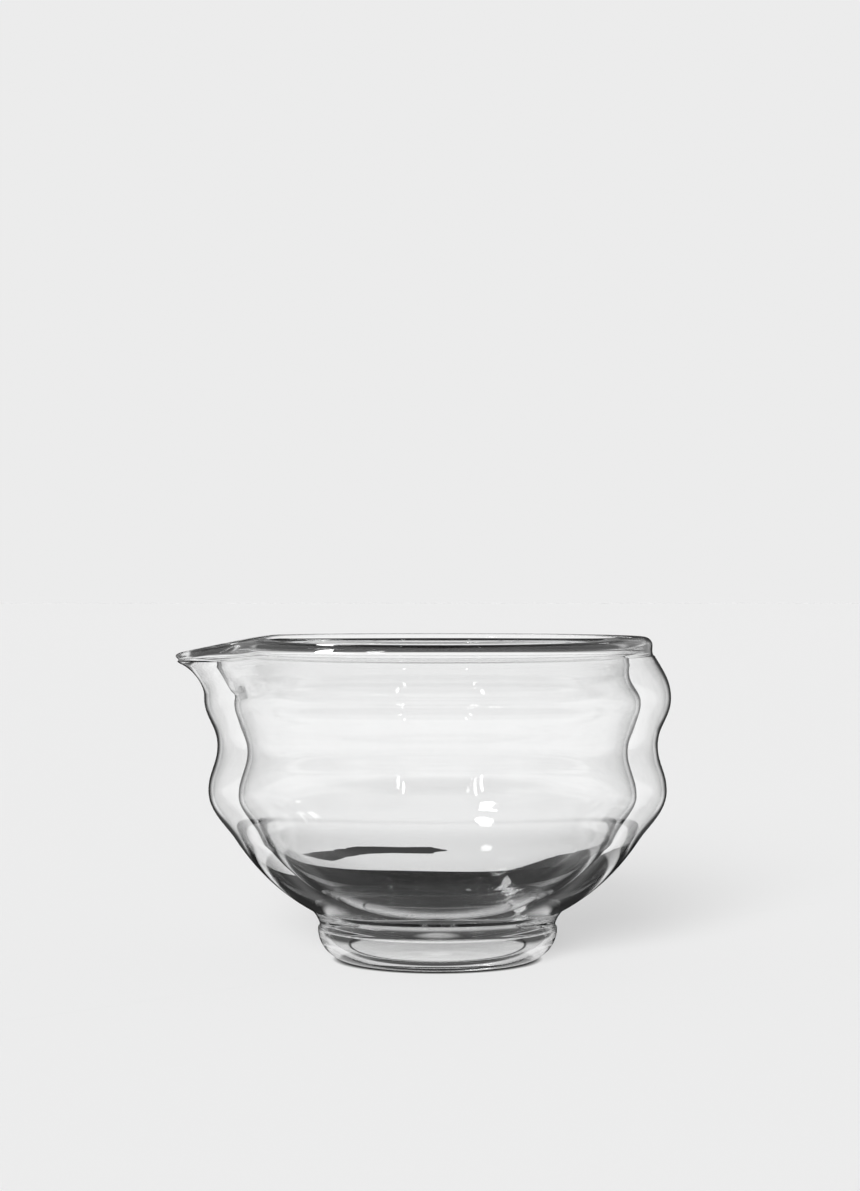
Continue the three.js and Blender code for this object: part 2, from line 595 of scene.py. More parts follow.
@dataclass(frozen=True)
class SpoutForm:
    """How the spout is drawn out of a turned wall, in millimetres and radians."""

    reach: float = 11.4
    overhang: float = 1.4
    depth: float = 10.3
    tip_lip_height: float = 2.0
    bend: float = 43.0
    bend_softness: float = 6.0
    half_angle: float = 33 * DEG
    tilt: float = 12.5 * DEG
    sharpness: float = 4.0
    droop_swell: float = 1.5
    outer_swell: float = 1.7
    inner_swell: float = 0.8

    def values(self, bowl: BowlForm, swell: float) -> dict[str, float]:
        """The named inputs of the turning tree.

        Args:
            bowl: The bowl that the spout is drawn out of.
            swell: The power of the spout's growth up the wall.

        Returns:
            The values by input name, in metres.
        """
        return {
            "Spout Reach": self.reach * MM,
            "Spout Overhang": self.overhang * MM,
            "Spout Root": (bowl.seam_height - self.depth) * MM,
            "Shell Top": bowl.shell_top * MM,
            "Seam Height": bowl.seam_height * MM,
            "Lip Height": bowl.lip_height * MM,
            "Tip Lip Height": self.tip_lip_height * MM,
            "Spout Bend": self.bend * MM,
            "Bend Softness": self.bend_softness * MM,
            "Half Angle": self.half_angle,
            "Slope": math.tan(self.tilt),
            "Sharpness": self.sharpness,
            "Droop Swell": self.droop_swell,
            "Swell": swell,
        }


class TurningTree:
    """Geometry Nodes that turn a section about the Z axis and draw the spout out of it."""

    SEGMENTS = 320
    MERGE = 1e-6  # metres
    CREASE = 40 * DEG  # edges sharper than this stay sharp

    def __init__(self, seam: Material) -> None:
        """Builds the tree once for all pieces.

        Args:
            seam: The material of the fused faces.
        """
        self.tree = bpy.data.node_groups.new("turned_glass", "GeometryNodeTree")
        spout = SpoutForm()
        self.identifiers = {
            **sockets(self.tree, "NodeSocketGeometry", ["Geometry"]),
            **sockets(self.tree, "NodeSocketFloat", spout.values(BowlForm(), spout.outer_swell)),
            **sockets(self.tree, "NodeSocketInt", ["Segments"]),
            **sockets(self.tree, "NodeSocketMaterial", ["Glass", "Seam"]),
        }
        sockets(self.tree, "NodeSocketGeometry", ["Geometry"], "OUTPUT")
        self.given = add(self.tree, "NodeGroupInput")
        self.seam = seam
        self.wire()

    def number(self, name: str) -> Field:
        """One of the tree's own inputs, as a number."""
        return Field(self.given.outputs[name])

    def sampled(self, value: NodeSocket, index: Field, kind: str) -> NodeSocket:
        """Reads a value at one point of the section.

        Args:
            value: The value on the section's points.
            index: Which point.
            kind: The value's type.

        Returns:
            The socket that gives it.
        """
        values = {"Geometry": self.given.outputs["Geometry"], "Value": value, "Index": index}
        node = add(self.tree, "GeometryNodeSampleIndex", values, data_type=kind, domain="POINT")
        return node.outputs["Value"]

    def passed(
        self, mesh: NodeSocket, kind: str, values: Inputs | None = None, **settings: object
    ) -> NodeSocket:
        """Sends a mesh through a node.

        Args:
            mesh: The socket that gives the mesh.
            kind: The node's type name.
            values: What fills its other inputs.
            settings: Its properties by name.

        Returns:
            The socket of the changed mesh.
        """
        return add(self.tree, kind, {0: mesh, **(values or {})}, **settings).outputs[0]

    def spouted(self, radius: Field, height: Field, turn: Field) -> NodeSocket:
        """The place of a point of the turned wall, with the spout drawn out.

        Args:
            radius: The point's radius in the section.
            height: Its height in the section.
            turn: Its angle about the axis, from the middle of the spout.

        Returns:
            The socket of its place.
        """
        number = self.number
        aside = turn.at_most(FULL_TURN - turn)
        share = (aside / number("Half Angle")).at_most(1.0)
        plan = (share * (math.pi / 2)).cosine().at_least(0.0) ** number("Sharpness")
        drawn = number("Shell Top") - number("Spout Root")
        rise = ((height - number("Spout Root")) / drawn).at_least(0.0).at_most(1.0)
        up_the_lip = height.past(number("Seam Height")) / number("Lip Height")
        pull = number("Spout Reach") * rise ** number("Swell") + number("Spout Overhang") * up_the_lip
        reach = radius + pull * plan
        distance = reach * turn.cosine()
        past = distance.past(number("Spout Bend"))
        fall = number("Slope") * past * past / (past + number("Bend Softness"))
        thinning = (number("Lip Height") - number("Tip Lip Height")) * plan
        seam_fall = (fall - thinning) * rise ** number("Droop Swell")
        level = height - seam_fall - thinning * up_the_lip
        place = {"X": distance * -1.0, "Y": reach * turn.sine(), "Z": level}
        return add(self.tree, "ShaderNodeCombineXYZ", place).outputs["Vector"]

    def wire(self) -> None:
        """Joins the nodes: a grid of the section's points round the axis, its marks, place and finish."""
        tree = self.tree
        given = self.given.outputs
        size = add(tree, "GeometryNodeAttributeDomainSize", {"Geometry": given["Geometry"]}, component="MESH")
        points = Field(size.outputs["Point Count"])
        index = Field(add(tree, "GeometryNodeInputIndex").outputs["Index"])
        segments = self.number("Segments")
        grid = add(tree, "GeometryNodeMeshGrid", {"Vertices X": segments + 1.0, "Vertices Y": points})

        mark = add(tree, "GeometryNodeInputNamedAttribute", {"Name": FUSED_MARK}, data_type="BOOLEAN")
        fused = mark.outputs["Attribute"]
        face_row = index.apply("FLOORED_MODULO", points - 1.0)
        marks = {"Name": FUSED_MARK, "Value": self.sampled(fused, face_row, "BOOLEAN")}
        kept = {"data_type": "BOOLEAN", "domain": "FACE"}
        mesh = self.passed(grid.outputs["Mesh"], "GeometryNodeStoreNamedAttribute", marks, **kept)

        row = index.apply("FLOORED_MODULO", points)
        turn = (index / points).apply("FLOOR") * FULL_TURN / segments
        position = add(tree, "GeometryNodeInputPosition").outputs["Position"]
        radius, _, height = axes_of(self.sampled(position, row, "FLOAT_VECTOR"))
        mesh = self.passed(mesh, "GeometryNodeSetPosition", {"Position": self.spouted(radius, height, turn)})

        mesh = self.passed(mesh, "GeometryNodeMergeByDistance", {"Distance": self.MERGE})
        mesh = self.passed(mesh, "GeometryNodeSetShadeSmooth", domain="FACE")
        bent = Field(add(tree, "GeometryNodeInputMeshEdgeAngle").outputs["Unsigned Angle"])
        creases = {"Selection": bent.apply("GREATER_THAN", self.CREASE), "Shade Smooth": False}
        mesh = self.passed(mesh, "GeometryNodeSetShadeSmooth", creases, domain="EDGE")

        mesh = self.passed(mesh, "GeometryNodeFlipFaces")
        mesh = self.passed(mesh, "GeometryNodeRealizeInstances")
        mesh = self.passed(mesh, "GeometryNodeSetMaterial", {"Material": given["Glass"]})
        seams = {"Selection": fused, "Material": given["Seam"]}
        mesh = self.passed(mesh, "GeometryNodeSetMaterial", seams)
        add(tree, "NodeGroupOutput", {"Geometry": mesh})

    def turn(self, name: str, section: Section, glass: Material, values: dict[str, float]) -> Object:
        """Turns a section into a finished glass piece.

        Args:
            name: The piece's name.
            section: Its outline.
            glass: The material of its skin.
            values: The tree's inputs for the spout.

        Returns:
            The new object, a plain mesh at the origin.
        """
        source = new_object(name + "_section", section.mesh(name + "_section"))
        modifier = source.modifiers.new("turned", "NODES")
        modifier.node_group = self.tree
        extra = {"Segments": self.SEGMENTS, "Glass": glass, "Seam": self.seam}
        for key, value in {**values, **extra}.items():
            modifier[self.identifiers[key]] = value
        depsgraph = bpy.context.evaluated_depsgraph_get()
        mesh = bpy.data.meshes.new_from_object(source.evaluated_get(depsgraph))
        mesh.name = name
        mesh.materials.pop(index=0)  # the grid's own empty slot
        bpy.data.objects.remove(source)
        return new_object(name, mesh)


class BlownSurface:
    """The shader group of a blown surface: soft ripples, faint draw lines and a breath of mist."""

    SIZES = ("Ripple Size", "Ripple Depth", "Draw Spacing", "Draw Depth", "Mist")
    NOISE_MIDDLE = 0.5
    RIPPLE_DETAIL = 1.0
    WANDER_GRAIN = 1.6  # grain of the draw lines' wandering, in ripples
    WANDER_DETAIL = 0.0
    WANDER = 9.0  # how far they wander, in radians
    MIST_GRAIN = 0.4  # grain of the mist, in ripples
    MIST_DETAIL = 3.0
    MIST_SPAN = (0.45, 0.8)  # noise at which the mist starts, and at which it is full

    def __init__(self) -> None:
        """Builds the group once for all materials."""
        self.tree = bpy.data.node_groups.new("blown_surface", "ShaderNodeTree")
        sockets(self.tree, "NodeSocketVector", ["Place"])
        sockets(self.tree, "NodeSocketFloat", self.SIZES)
        sockets(self.tree, "NodeSocketFloat", ["Height", "Roughness"], "OUTPUT")
        given = add(self.tree, "NodeGroupInput").outputs
        self.place = given["Place"]
        ripple, ripple_depth, spacing, draw_depth, mist = (Field(given[name]) for name in self.SIZES)
        ripples = (self.noise(ripple, self.RIPPLE_DETAIL) - self.NOISE_MIDDLE) * ripple_depth
        wandering = self.noise(ripple * self.WANDER_GRAIN, self.WANDER_DETAIL)
        turns = axes_of(self.place)[2] / spacing * FULL_TURN
        lines = (turns + (wandering - self.NOISE_MIDDLE) * self.WANDER).sine() * draw_depth
        dull = self.noise(ripple * self.MIST_GRAIN, self.MIST_DETAIL).ramp(*self.MIST_SPAN)
        add(self.tree, "NodeGroupOutput", {"Height": ripples + lines, "Roughness": dull * mist})

    def noise(self, grain: Field, detail: float) -> Field:
        """A noise of a given grain and detail, from 0 to 1."""
        values = {"Vector": self.place, "Scale": grain**-1.0, "Detail": detail}
        return Field(add(self.tree, "ShaderNodeTexNoise", values).outputs["Fac"])


@dataclass(frozen=True)
class ClearGlass:
    """Colourless, fire-polished blown glass, with painted shade along its edges."""

    name: str = "clear_blown_glass"
    ior: float = 1.47
    tint: tuple[float, float, float] = (0.998, 0.999, 0.999)
    shade: float = 0.96  # share of a lamp's light that passes each face into the shadow
    edge: float = 0.03  # painted shade: the glass's colour where a face is seen along it, drawing dark edges
    edge_shade_slant: Span = (0.85, 0.91)  # slant where the painted edge shade starts, and where it is full
    ripple_size: float = 21.0 * MM
    ripple_depth: float = 0.035 * MM
    draw_spacing: float = 5.5 * MM
    draw_depth: float = 0.004 * MM
    mist: float = 0.006  # roughness where the polish is dullest

    def dark_share(self, slant: Field, height: Field) -> Field:
        """How much painted edge shade a face gets for its slant, at any height."""
        return slant.ramp(*self.edge_shade_slant)

    def material(self, blown: BlownSurface) -> Material:
        """Makes the glass material.

        Args:
            blown: The surface that all the glass shares.

        Returns:
            The material, whose shadow lets most of a lamp's light through.
        """
        material = new_material(self.name, {"IOR": self.ior, "Transmission Weight": 1})
        tree = material.node_tree
        place = add(tree, "ShaderNodeTexCoord").outputs["Object"]
        # painted shade: the glass's colour is mixed towards dark grey where a face is seen along it, to draw
        # its edges
        dark = self.dark_share(slant_in(tree), axes_of(place)[2])
        colours = {MIX_SHARE: dark, MIX_START: (*self.tint, 1), MIX_END: grey(self.edge)}
        colour = add(tree, "ShaderNodeMix", colours, data_type="RGBA")
        sizes = (self.ripple_size, self.ripple_depth, self.draw_spacing, self.draw_depth, self.mist)
        values = {"Place": place, **dict(zip(blown.SIZES, sizes))}
        surface = add(tree, "ShaderNodeGroup", values, node_tree=blown.tree)
        bump = add(tree, "ShaderNodeBump", {"Distance": 1.0, "Height": surface.outputs["Height"]})
        varied = {
            "Base Color": colour.outputs[MIX_RESULT],
            "Roughness": surface.outputs["Roughness"],
            "Normal": bump.outputs["Normal"],
        }
        feed(tree.nodes["Principled BSDF"], varied)
        clear = add(tree, "ShaderNodeBsdfTransparent", {"Color": grey(self.shade)})
        in_shadow = add(tree, "ShaderNodeLightPath").outputs["Is Shadow Ray"]
        show_instead(tree, in_shadow, clear.outputs["BSDF"])
        return material


@dataclass(frozen=True)
class BowlGlass(ClearGlass):
    """The drinking bowl's glass, with a weld line under the lip."""

    name: str = "clear_bowl_glass"
    weld_height: float = 77.2 * MM
    weld_half: float = 0.2 * MM
    weld_share: float = 0.6

    def dark_share(self, slant: Field, height: Field) -> Field:
        """How much painted edge shade a face gets for its slant, and the weld line at its height."""
        weld = abs(height - self.weld_height).fade(0.0, self.weld_half)
        return super().dark_share(slant, height).at_least(weld * self.weld_share)


@dataclass(frozen=True)
class FusedSeam:
    """The faces where two pieces run into one glass, which nothing shows."""

    def material(self) -> Material:
        """Makes the material of the fused faces, fully see-through."""
        return new_material("fused_seam", {"Alpha": 0})


@dataclass
class GlassPart:
    """A turned glass piece that stands for one node of the frame."""

    bowl: BowlForm
    spout: SpoutForm
    turning: TurningTree
    glass: Material

    def make(self, name: str, node: str, section: Section, swell: float) -> None:
        """Turns the section, puts the piece on the root body and hides the frame's node.

        Args:
            name: The piece's name.
            node: The frame's node that it stands for.
            section: Its outline.
            swell: The power of the spout's growth up this wall.
        """
        piece = self.turning.turn(name, section, self.glass, self.spout.values(self.bowl, swell))
        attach(piece, ROOT_BODY)
        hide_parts(node)
        LOG.info("%s: %d faces for node %s", name, len(piece.data.polygons), node)


@dataclass
class HollowFoot(GlassPart):
    """The cup-shaped foot under the outer wall."""

    radius: float = 30.8
    corner: float = 8.0
    neck_inset: float = 0.5
    neck_drop: float = 4.0
    flare: float = 1.7
    thickness: float = 1.3
    base_thickness: float = 2.0
    steps: int = 14

    @property
    def seat(self) -> Span:
        """The inner and outer radius of the band where the foot is fused to the outer wall."""
        outer = self.radius + self.flare
        return outer - self.thickness, outer

    def build(self) -> None:
        """Builds the foot."""
        inner_radius, outer_radius = self.seat
        band = cut_at(cut_at(self.bowl.outer_face(), outer_radius)[0], inner_radius)[1]
        top_inside, top_outside = band[0], band[-1]
        neck_height = top_outside.y - self.bowl.seam_gap - self.neck_drop
        side = at(self.radius, self.corner)
        neck = at(self.radius - self.neck_inset, neck_height)
        neck_inside = neck - at(self.thickness, 0)
        inner_corner = self.corner - self.thickness
        hollow = at(self.radius - self.corner, self.base_thickness + inner_corner)
        up = at(0, self.neck_drop * self.bowl.wave_ease)
        flare = at(self.flare, self.flare) * self.bowl.wave_ease
        outer_arc = arc(at(hollow.x, self.corner), at(self.corner, self.corner), -90, 0, self.steps)
        inner_arc = arc(hollow, at(inner_corner, inner_corner), 0, -90, self.steps)
        section = Section([at(0, 0)])
        section.along(straight(at(0, 0), outer_arc[0], self.steps))
        section.along(outer_arc[1:])
        section.along(bezier(side, side + up / 2, neck - up / 2, neck, self.steps))
        section.along(bezier(neck, neck + up, top_outside - flare, top_outside, self.steps))
        section.along(band[-2::-1], Stretch.FUSED)
        section.along(bezier(top_inside, top_inside - flare, neck_inside + up, neck_inside, self.steps))
        section.along(straight(neck_inside, inner_arc[0], self.steps // 2))
        section.along(inner_arc[1:])
        section.along(straight(inner_arc[-1], at(0, self.base_thickness), self.steps))
        self.make("hollow_foot", "foot", section, self.spout.outer_swell)


@dataclass
class VentDrop(GlassPart):
    """The drop of glass that closes the vent of the air space."""

    overlap: float = 1.6
    head_height: float = 1.2
    sag: float = 0.6
    steps: int = 10

    @property
    def head_radius(self) -> float:
        """Radius of the drop's head under the outer wall."""
        return self.bowl.vent_radius + self.overlap

    def build(self) -> None:
        """Builds the drop."""
        bowl = self.bowl
        under = cut_at(bowl.outer_face(), self.head_radius)[0]
        top = at(bowl.vent_radius, bowl.underside_height + bowl.wall)
        head = arc(at(0, under[-1].y), at(self.head_radius, self.head_height), -90, 0, self.steps)
        crown = arc(at(0, top.y), at(bowl.vent_radius, self.sag), 0, 90, self.steps)
        section = Section([head[0]])
        section.along(head[1:])
        section.along([*under[-2::-1], top], Stretch.FUSED)
        section.along(crown[1:])
        self.make("vent_drop", "vent_seal", section, self.spout.outer_swell)


@dataclass
class OuterWall(GlassPart):
    """The outside wall with its two waves, fused to the lip, the foot and the vent's drop."""

    def build(self, foot_seat: Span, head_radius: float) -> None:
        """Builds the wall.

        Args:
            foot_seat: The inner and outer radius of the foot's fused band.
            head_radius: The radius of the vent drop's head.
        """
        bowl = self.bowl
        outside = bowl.outer_face()
        end = at(bowl.lip_radius - bowl.wall, bowl.joint_height)
        inside = parallel(outside, bowl.wall, end)[::-1]
        head, rest = cut_at(outside, head_radius)
        bottom, rest = cut_at(rest, foot_seat[0])
        band, side = cut_at(rest, foot_seat[1])
        section = Section([head[0]])
        section.along(head[1:], Stretch.FUSED).along(bottom[1:])
        section.along(band[1:], Stretch.FUSED).along(side[1:])
        section.along(inside[:1], Stretch.FUSED).along(inside[1:])
        section.along(head[:1], Stretch.FUSED)
        self.make("outer_wall", "outer_shell", section, self.spout.outer_swell)


@dataclass
class DrinkingBowl(GlassPart):
    """The inner wall, with the pouring channel of the spout."""

    def build(self) -> None:
        """Builds the bowl."""
        bowl = self.bowl
        outside = bowl.inner_face()
        end = at(bowl.lip_radius - bowl.lip_width, bowl.joint_height)
        inside = parallel(outside, bowl.wall, end)[::-1]
        section = Section(outside[:1])
        section.along(outside[1:])
        section.along(inside[:1], Stretch.FUSED).along(inside[1:])
        self.make("drinking_bowl", "inner_bowl", section, self.spout.inner_swell)


@dataclass
class FusedLip(GlassPart):
    """The thick lip that joins the two walls."""

    lean: float = 1.1
    draft: float = 0.5
    corner: float = 2.3
    groove: float = 0.15
    groove_ease: float = 0.9
    arch: float = 3.25  # how far the air space reaches up into the lip
    steps: int = 12

    def build(self) -> None:
        """Builds the lip."""
        bowl = self.bowl
        joint = bowl.joint_height
        foot_out = at(bowl.lip_radius, joint)
        foot_in = at(bowl.lip_radius - bowl.lip_width, joint)
        crown_out = bowl.lip_radius - self.draft
        crown_in = foot_in.x + self.lean
        corner = min(self.corner, (crown_out - crown_in) / 2)
        level = bowl.bowl_height - corner
        radii = at(corner, corner)
        out_arc = arc(at(crown_out - corner, level), radii, 0, 90, self.steps)
        in_arc = arc(at(crown_in + corner, level), radii, 90, 180, self.steps)
        pinch = at(crown_out - self.groove, foot_out.y)
        leave = foot_out.lerp(pinch, self.groove_ease)
        arrive = pinch + at(0, level - joint) / 2
        gap_out = at(bowl.lip_radius - bowl.wall, joint)
        gap_in = at(foot_in.x + bowl.wall, joint)
        vault_radii = at((gap_out.x - gap_in.x) / 2, self.arch)
        vault = arc((gap_out + gap_in) / 2, vault_radii, 180, 0, 2 * self.steps)
        section = Section([foot_out])
        section.along(bezier(foot_out, leave, arrive, out_arc[0], self.steps))
        section.along([*out_arc[1:], *in_arc])
        section.along(straight(in_arc[-1], foot_in, self.steps // 2))
        section.along([gap_in], Stretch.FUSED)
        section.along(vault[1:])
        section.along([foot_out], Stretch.FUSED)
        self.make("fused_lip", "rim_lip", section, self.spout.outer_swell)


class TableRay:
    """A ray from the glass that meets the table."""

    def __init__(self, tree: NodeTree) -> None:
        """Reads where the ray meets the table and how it comes there.

        Args:
            tree: The table's nodes.
        """
        self.across, self.away, _ = axes_of(add(tree, "ShaderNodeTexCoord").outputs["Object"])
        self.radius = (self.across * self.across + self.away * self.away).apply("SQRT")
        self.slant = slant_in(tree)
        steep = 1.0 - self.slant
        self.fall = steep / (1.0 - steep * steep).apply("SQRT")  # for each metre along the table
        self.height = self.radius * self.fall  # at which its line passes the bowl's axis


@dataclass(frozen=True)
class GlassView:
    """What only the glass shows of the studio: pale surroundings, a dark sky and painted shade on the table.

    A slant is 0 for what comes straight down on the table, and 1 for what comes along it.
    """

    backdrop: float = 0.97  # level of the pale surroundings
    sky: Span = (25 * DEG, 31 * DEG)  # above this the surroundings get dark
    sky_level: float = 0.06
    corner_level: float = 0.8  # level between the four level views, which draws the glass's edges
    corner_near: Span = (13 * DEG, 20 * DEG)  # angles from a level view's axis where such a corner starts
    corner_far: Span = (33 * DEG, 42 * DEG)  # and where it ends
    table_near: Span = (15 * DEG, 24 * DEG)  # where it starts on the table, which is closer
    table_corner: Span = (0.2, 0.45)  # distance at which painted shade makes the table darker there
    soft: float = 3 * MM  # how soft the edges of the shapes on the table are
    ring: Span = (34 * MM, 75 * MM)  # painted shadow: a dark ring round the foot
    ring_slant: Span = (0.25, 0.5)
    ring_depth: Span = (0.3, 0.97)  # how dark it is from above, and along the table
    field_edge: Span = (125 * MM, 200 * MM)  # painted shade: a dark field round it, and its wider corners on the right
    field_turn: Span = (6 * DEG, 24 * DEG)  # angles from a level axis where it gets wider
    field_slant: Span = (0.72, 0.8)  # it is dark only along the table
    field_below: Span = (22 * MM, 23.5 * MM)  # and only for what leaves the bowl lower than this
    field_depth: float = 0.95
    bowl_side: float = 50 * MM  # radius at which that height is taken
    leaf_across: Span = (-57 * MM, 6 * MM)  # the ends of a leaf of painted shade on the table behind the bowl
    leaf_near: Span = (148 * MM, 303 * MM)  # its near edge, to the left and to the right
    leaf_turn: Span = (-40 * MM, -18 * MM)  # where that edge runs from one to the other
    leaf_tip: float = -2 * MM  # where it turns to the tip at the right end
    leaf_tip_slope: float = 6.0
    leaf_far: float = 355 * MM  # its far edge
    leaf_below: Span = (30 * MM, 30.4 * MM)  # what passes the axis higher meets the right part of that edge
    leaf_tail: float = -44 * MM  # to the left of here, what passes lower than that does too
    leaf_tail_slope: float = 0.233
    leaf_shoulder: float = -35 * MM  # and to the left of here, for such rays, the edge runs away
    leaf_shoulder_slope: float = 4.0
    leaf_top: Span = (32 * MM, 33 * MM)  # what passes the axis higher than this meets no leaf
    contact: Span = (22.6 * MM, 24 * MM)  # painted contact shadow: the dark line where the foot meets the table
    contact_soft: float = 0.5 * MM
    contact_slant: Span = (0.25, 0.36)
    contact_depth: float = 0.97
    far_half: Span = (-5 * MM, 4 * MM)  # painted shade: under the foot, the half behind the axis is dark
    far_edge: Span = (33 * MM, 35 * MM)
    far_slant: Span = (0.45, 0.5)  # only for what comes this flat
    far_mirrored_slant: Span = (0.645, 0.69)  # the same in mirrored light
    far_front: float = -30 * MM  # the front of the foot
    far_above: Span = (7.6 * MM, 8.2 * MM)  # and only for what passes there higher than this
    far_depth: float = 0.9
    mirrored: float = 0.85  # share of the pale surroundings that shows in mirrored light
    card_level: float = 0.08  # what is left of it on a dark card behind the bowl
    card_turn: Span = (17 * DEG, 26 * DEG)  # how its sides slant
    card_side: float = 60 * MM  # where they start beside the bowl
    card_from: Span = (60 * MM, 100 * MM)  # how far behind the bowl's axis it starts
    card_closest: float = 0.001  # keeps the way to it from being zero
    steep_slant: Span = (0.3, 0.42)  # painted shade: mirrored light that comes down steeply round the foot is dark too
    steep_edge: Span = (55 * MM, 70 * MM)
    steep_depth: float = 0.9
    graze_slant: Span = (0.78, 0.84)  # and so is what comes along the table under the foot
    graze_edge: Span = (34 * MM, 36 * MM)
    graze_depth: float = 0.95

    @staticmethod
    def mirrors(tree: NodeTree) -> Field:
        """Whether a ray has been mirrored on its way, as 0 or 1."""
        return Field(add(tree, "ShaderNodeLightPath").outputs["Glossy Depth"]).at_most(1.0)

    def card(self, across: Field, away: Field, side: float) -> Field:
        """The level of mirrored light that meets the dark card or passes it.

        Args:
            across: How far to the side a direction or a point lies.
            away: How far behind the bowl it lies.
            side: Where the card's slanting sides start.

        Returns:
            The level.
        """
        turn = (abs(across) - side) / away.at_least(self.card_closest)
        passing = turn.ramp(*map(math.tan, self.card_turn))
        return passing.between(self.card_level, 1.0) * self.mirrored

    @staticmethod
    def off_axis(across: Field, away: Field) -> Field:
        """The angle between a direction and the nearest of the four level axes.

        Args:
            across: The direction's part along X.
            away: Its part along Y.

        Returns:
            The angle.
        """
        quarter = FULL_TURN / 4
        angle = across.apply("ARCTAN2", away) + quarter / 2
        return abs(angle.apply("FLOORED_MODULO", quarter) - quarter / 2)

    def pale(self, corner: Field) -> Field:
        """The level of the pale surroundings for how far a direction lies in a dark corner."""
        return corner.between(self.backdrop, self.corner_level)

    def corner(self, off_axis: Field, near: Span) -> Field:
        """How far a direction lies in a dark corner of the studio, from 0 to 1."""
        return off_axis.ramp(*near) * off_axis.fade(*self.corner_far)

    def surroundings(self, tree: NodeTree) -> Field:
        """The level of the world in the direction of a ray.

        Args:
            tree: The world's nodes.

        Returns:
            The level.
        """
        across, away, up = axes_of(add(tree, "ShaderNodeTexCoord").outputs["Generated"])
        low = self.pale(self.corner(self.off_axis(across, away), self.corner_near))
        level = up.ramp(*map(math.sin, self.sky)).between(low, self.sky_level)
        return level * self.mirrors(tree).between(1.0, self.card(across, away, 0.0))

    def painted_ring_and_field(self, ray: TableRay, off_axis: Field) -> Field:
        """How dark the painted shadow ring and the painted shade field round the foot are.

        Args:
            ray: The ray that meets the table.
            off_axis: The angle from the nearest level axis to where it does.

        Returns:
            The share of light that they take.
        """
        soft = self.soft
        start, end = self.ring
        outside = ray.radius.ramp(start, start + soft)
        ring = outside * ray.radius.fade(end - soft, end)
        ring *= ray.slant.ramp(*self.ring_slant).between(*self.ring_depth)
        wider = off_axis.ramp(*self.field_turn) * ray.across.ramp(-soft, soft)
        dark_field = outside * (ray.radius - wider.between(*self.field_edge)).fade(-soft, 0.0)
        left_at = (ray.radius - self.bowl_side) * ray.fall
        dark_field *= ray.slant.ramp(*self.field_slant) * left_at.fade(*self.field_below)
        return ring.at_least(dark_field * self.field_depth)

    def leaf(self, ray: TableRay) -> Field:
        """How dark the leaf of painted shade behind the bowl is.

        Args:
            ray: The ray that meets the table.

        Returns:
            The share of light that it takes.
        """
        soft = self.soft
        left, right = self.leaf_across
        across = ray.across
        tail = (self.leaf_tail - across).at_least(0.0) * self.leaf_tail_slope
        upper = (ray.height + tail).ramp(*self.leaf_below)
        near = across.ramp(*self.leaf_turn).at_least(upper).between(*self.leaf_near)
        near += across.past(self.leaf_tip) * self.leaf_tip_slope
        near += (self.leaf_shoulder - across).at_least(0.0) * upper * self.leaf_shoulder_slope
        wide = across.ramp(left, left + soft) * across.fade(right, right + soft)
        deep = (ray.away - near).ramp(0.0, soft) * ray.away.fade(self.leaf_far - soft, self.leaf_far)
        return wide * deep * ray.height.fade(*self.leaf_top) * self.field_depth

    def painted_contact_shadow(self, ray: TableRay) -> Field:
        """How dark the painted contact shadow is where the foot meets the table.

        Args:
            ray: The ray that meets the table.

        Returns:
            The share of light that it takes.
        """
        start, end = self.contact
        line = ray.radius.ramp(start, start + self.contact_soft)
        line *= ray.radius.fade(end - self.contact_soft, end)
        return line * ray.slant.ramp(*self.contact_slant) * self.contact_depth

    def mirrored_level(self, ray: TableRay) -> Field:
        """The share of the table's light in mirrored light, less painted shade behind the bowl and round the
        foot.

        Args:
            ray: The ray that meets the table.

        Returns:
            The share.
        """
        card = self.card(ray.across, ray.away, self.card_side)
        level = ray.away.ramp(*self.card_from).between(self.mirrored, card)
        steep = ray.slant.fade(*self.steep_slant) * ray.radius.fade(*self.steep_edge)
        graze = ray.slant.ramp(*self.graze_slant) * ray.radius.fade(*self.graze_edge)
        return level * (1.0 - (steep * self.steep_depth).at_least(graze * self.graze_depth))

    def painted_shade_under_foot(self, ray: TableRay, mirrors: Field) -> Field:
        """How dark the painted shade is on the table under the far half of the foot.

        Args:
            ray: The ray that meets the table.
            mirrors: Whether it has been mirrored on its way.

        Returns:
            The share of light that this takes.
        """
        seen = ray.slant.ramp(*self.far_slant)
        seen = mirrors.between(seen, ray.slant.ramp(*self.far_mirrored_slant))
        passing = (ray.away - self.far_front) * ray.fall
        half = ray.away.ramp(*self.far_half) * ray.radius.fade(*self.far_edge)
        return half * seen * passing.ramp(*self.far_above) * self.far_depth

    def table(self, tree: NodeTree) -> Field:
        """The level of the table, with its painted shade, at the point that a ray meets.

        Args:
            tree: The table's nodes.

        Returns:
            The level.
        """
        ray = TableRay(tree)
        off_axis = self.off_axis(ray.across, ray.away)
        pale = self.pale(self.corner(off_axis, self.table_near) * ray.radius.ramp(*self.table_corner))
        shapes = self.painted_ring_and_field(ray, off_axis).at_least(self.leaf(ray))
        level = pale * (1.0 - shapes.at_least(self.painted_contact_shadow(ray)))
        mirrors = self.mirrors(tree)
        level *= mirrors.between(1.0, self.mirrored_level(ray))
        return level * (1.0 - self.painted_shade_under_foot(ray, mirrors))


